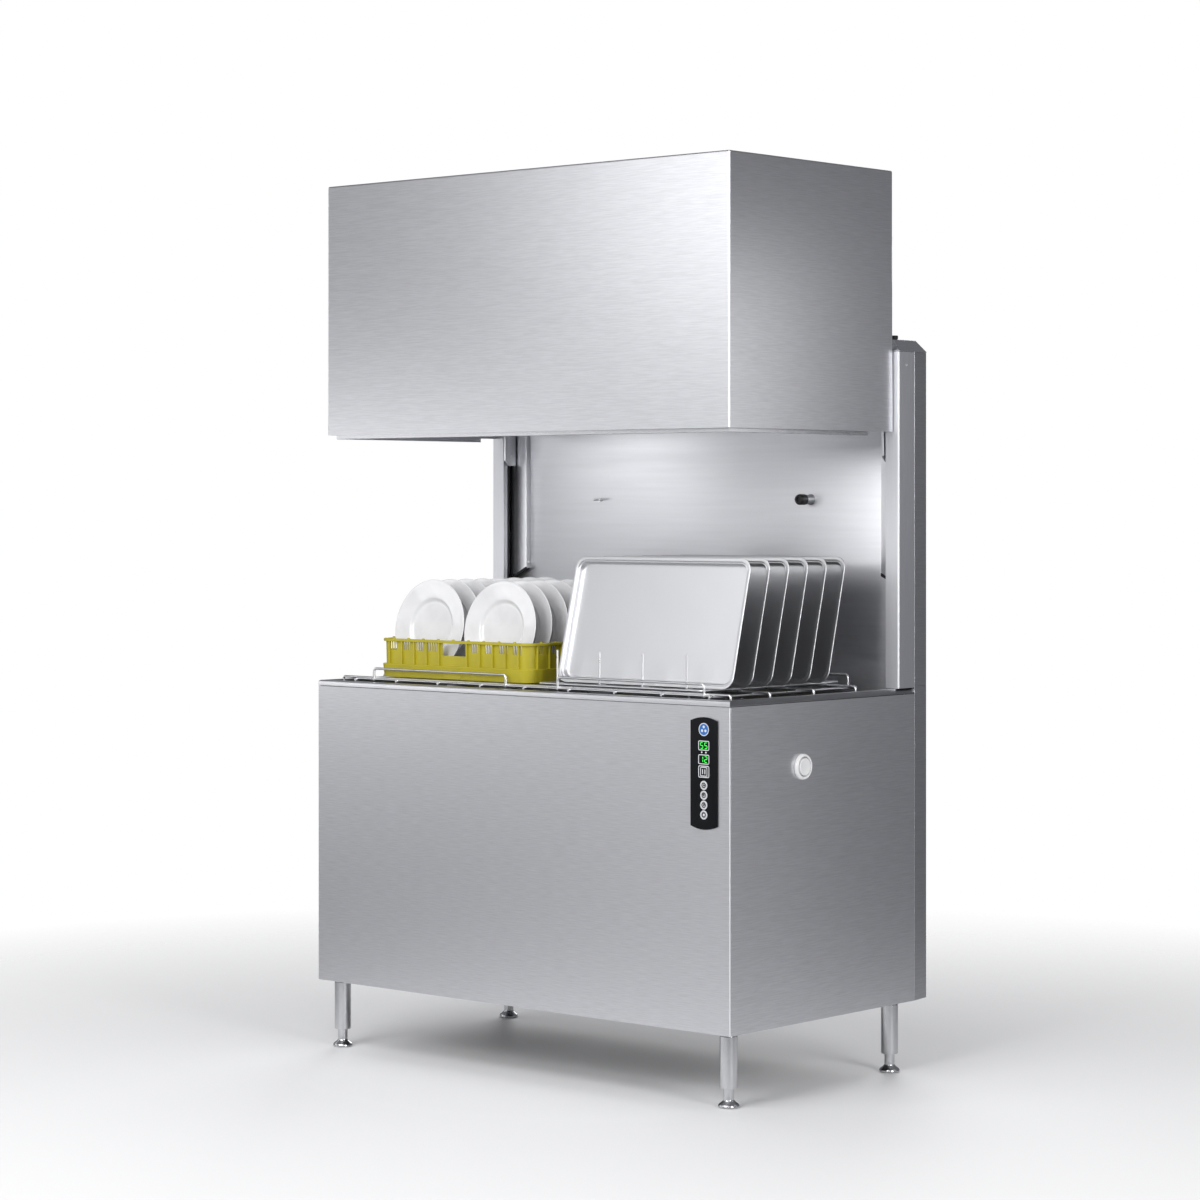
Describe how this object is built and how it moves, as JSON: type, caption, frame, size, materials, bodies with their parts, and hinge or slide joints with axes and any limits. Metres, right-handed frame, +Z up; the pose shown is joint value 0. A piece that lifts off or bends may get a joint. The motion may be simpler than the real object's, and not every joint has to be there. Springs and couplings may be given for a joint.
{
  "type": "commercial dishwasher",
  "caption": "Extra-wide hood-type commercial dishwasher, hood raised, with a loaded dish rack and a rack of trays on its wire track.",
  "frame": {"origin": "on the floor under the middle of the machine", "axes": "+Z up, +X to the right of someone at the front, +Y to the rear"},
  "size_m": [1.311, 0.7544, 2.11],
  "materials": {
    "brushed": "brushed stainless sheet",
    "column": "brushed stainless section",
    "cover": "darker stainless sheet",
    "tank": "smooth stainless",
    "tray": "satin stainless pan",
    "wire": "polished stainless wire",
    "frame": "grey steel",
    "foot": "stainless tube foot",
    "black": "black slide plastic",
    "panel": "charcoal glass-like plastic",
    "key": "grey key with a light ring",
    "button": "white gloss plastic",
    "grey": "cast or painted grey",
    "rack": "olive yellow plastic",
    "china": "white glazed china",
    "belt": "black rubber belt"
  },
  "bodies": {
    "cabinet": {"base_frame": "frame", "deck_frame": "brushed", "wash_tank": "tank", "front_panel": "brushed", "rear_cover_lower": "cover", "rear_cover_upper": "cover", "back_wall": "brushed", "feed_peg": "black", "rack_track": "wire", "tank_strainer": "tank", "tank_heater": "frame", "pump_body": "grey", "rinse_boiler": "tank", "control_box": "grey", "lift_motor": "grey", "control_panel": "panel", "button_ring": "button", "foot_front_left": "foot", "foot_rear_left": "foot", "side_panel_left": "brushed", "column_left": "column", "column_cap_left": "brushed", "rail_left": "black", "splash_guard_left": "column", "lift_belt_left": "belt", "foot_front_right": "foot", "foot_rear_right": "foot", "side_panel_right": "brushed", "column_right": "column", "column_cap_right": "brushed", "rail_right": "black", "splash_guard_right": "column", "lift_belt_right": "belt"},
    "hood": {"hood": "brushed", "hood_bracket_left": "column", "hood_bracket_right": "column", "upper_manifold": "tank"},
    "lift_shaft": {"lift_shaft": "frame"},
    "lift_idler_left": {"lift_idler_left": "frame"},
    "lift_idler_right": {"lift_idler_right": "frame"},
    "pump_impeller": {"pump_impeller": "black"},
    "start_button": {"start_button": "button"},
    "menu_key": {"menu_key": "key"},
    "loaded_dish_rack": {"dish_rack": "rack", "plates": "china"},
    "loaded_tray_rack": {"tray_insert": "wire", "tray_1": "tray", "tray_2": "tray", "tray_3": "tray", "tray_4": "tray", "tray_5": "tray", "tray_6": "tray"},
    "lower_arm_left": {"lower_arm_left": "tank"},
    "upper_arm_left": {"upper_arm_left": "tank"},
    "lower_arm_right": {"lower_arm_right": "tank"},
    "upper_arm_right": {"upper_arm_right": "tank"},
    "round_key_1": {"round_key_1": "key"},
    "round_key_2": {"round_key_2": "key"},
    "round_key_3": {"round_key_3": "key"},
    "round_key_4": {"round_key_4": "key"}
  },
  "joints": [
    {"name": "hood_slide", "type": "slide", "parent": "cabinet", "child": "hood", "axis": [0, 0, 1], "range_m": [-0.597, 0]},
    {"name": "lower_arm_left_spin", "type": "hinge", "parent": "cabinet", "child": "lower_arm_left", "pos_m": [-0.27, -0.068, 0.874], "axis": [0, 0, 1], "continuous": true},
    {"name": "upper_arm_left_spin", "type": "hinge", "parent": "hood", "child": "upper_arm_left", "pos_m": [-0.27, -0.068, 2.048], "axis": [0, 0, 1], "continuous": true},
    {"name": "lower_arm_right_spin", "type": "hinge", "parent": "cabinet", "child": "lower_arm_right", "pos_m": [0.27, -0.068, 0.874], "axis": [0, 0, 1], "continuous": true},
    {"name": "upper_arm_right_spin", "type": "hinge", "parent": "hood", "child": "upper_arm_right", "pos_m": [0.27, -0.068, 2.048], "axis": [0, 0, 1], "continuous": true},
    {"name": "pump_impeller_spin", "type": "hinge", "parent": "cabinet", "child": "pump_impeller", "pos_m": [-0.3, -0.075, 0.33], "axis": [1, 0, 0], "continuous": true},
    {"name": "lift_shaft_turn", "type": "hinge", "parent": "cabinet", "child": "lift_shaft", "pos_m": [0, 0.337, 0.83], "axis": [1, 0, 0], "range_deg": [-1, 1934.5]},
    {"name": "lift_idler_left_turn", "type": "hinge", "parent": "cabinet", "child": "lift_idler_left", "pos_m": [-0.625, 0.337, 1.65], "axis": [1, 0, 0], "range_deg": [-1, 1934.5]},
    {"name": "lift_idler_right_turn", "type": "hinge", "parent": "cabinet", "child": "lift_idler_right", "pos_m": [0.625, 0.337, 1.65], "axis": [1, 0, 0], "range_deg": [-1, 1934.5]},
    {"name": "round_key_1_press", "type": "slide", "parent": "cabinet", "child": "round_key_1", "axis": [0, 1, 0], "range_m": [0, 0.001], "stiffness_N_per_m": 600, "springref_m": -0.001},
    {"name": "round_key_2_press", "type": "slide", "parent": "cabinet", "child": "round_key_2", "axis": [0, 1, 0], "range_m": [0, 0.001], "stiffness_N_per_m": 600, "springref_m": -0.001},
    {"name": "round_key_3_press", "type": "slide", "parent": "cabinet", "child": "round_key_3", "axis": [0, 1, 0], "range_m": [0, 0.001], "stiffness_N_per_m": 600, "springref_m": -0.001},
    {"name": "round_key_4_press", "type": "slide", "parent": "cabinet", "child": "round_key_4", "axis": [0, 1, 0], "range_m": [0, 0.001], "stiffness_N_per_m": 600, "springref_m": -0.001},
    {"name": "menu_key_press", "type": "slide", "parent": "cabinet", "child": "menu_key", "axis": [0, 1, 0], "range_m": [0, 0.001], "stiffness_N_per_m": 600, "springref_m": -0.001},
    {"name": "start_button_press", "type": "slide", "parent": "cabinet", "child": "start_button", "axis": [-1, 0, 0], "range_m": [0, 0.003], "stiffness_N_per_m": 800, "springref_m": -0.002},
    {"name": "dish_rack_slide", "type": "slide", "parent": "cabinet", "child": "loaded_dish_rack", "axis": [-1, 0, 0], "range_m": [0, 0.62]},
    {"name": "tray_rack_slide", "type": "slide", "parent": "cabinet", "child": "loaded_tray_rack", "axis": [1, 0, 0], "range_m": [0, 0.62]}
  ],
  "couplings": [
    {"joint": "lift_shaft_turn", "follows": "hood_slide", "rad_per_m": -56.497},
    {"joint": "lift_idler_left_turn", "follows": "hood_slide", "rad_per_m": -56.497},
    {"joint": "lift_idler_right_turn", "follows": "hood_slide", "rad_per_m": -56.497}
  ]
}
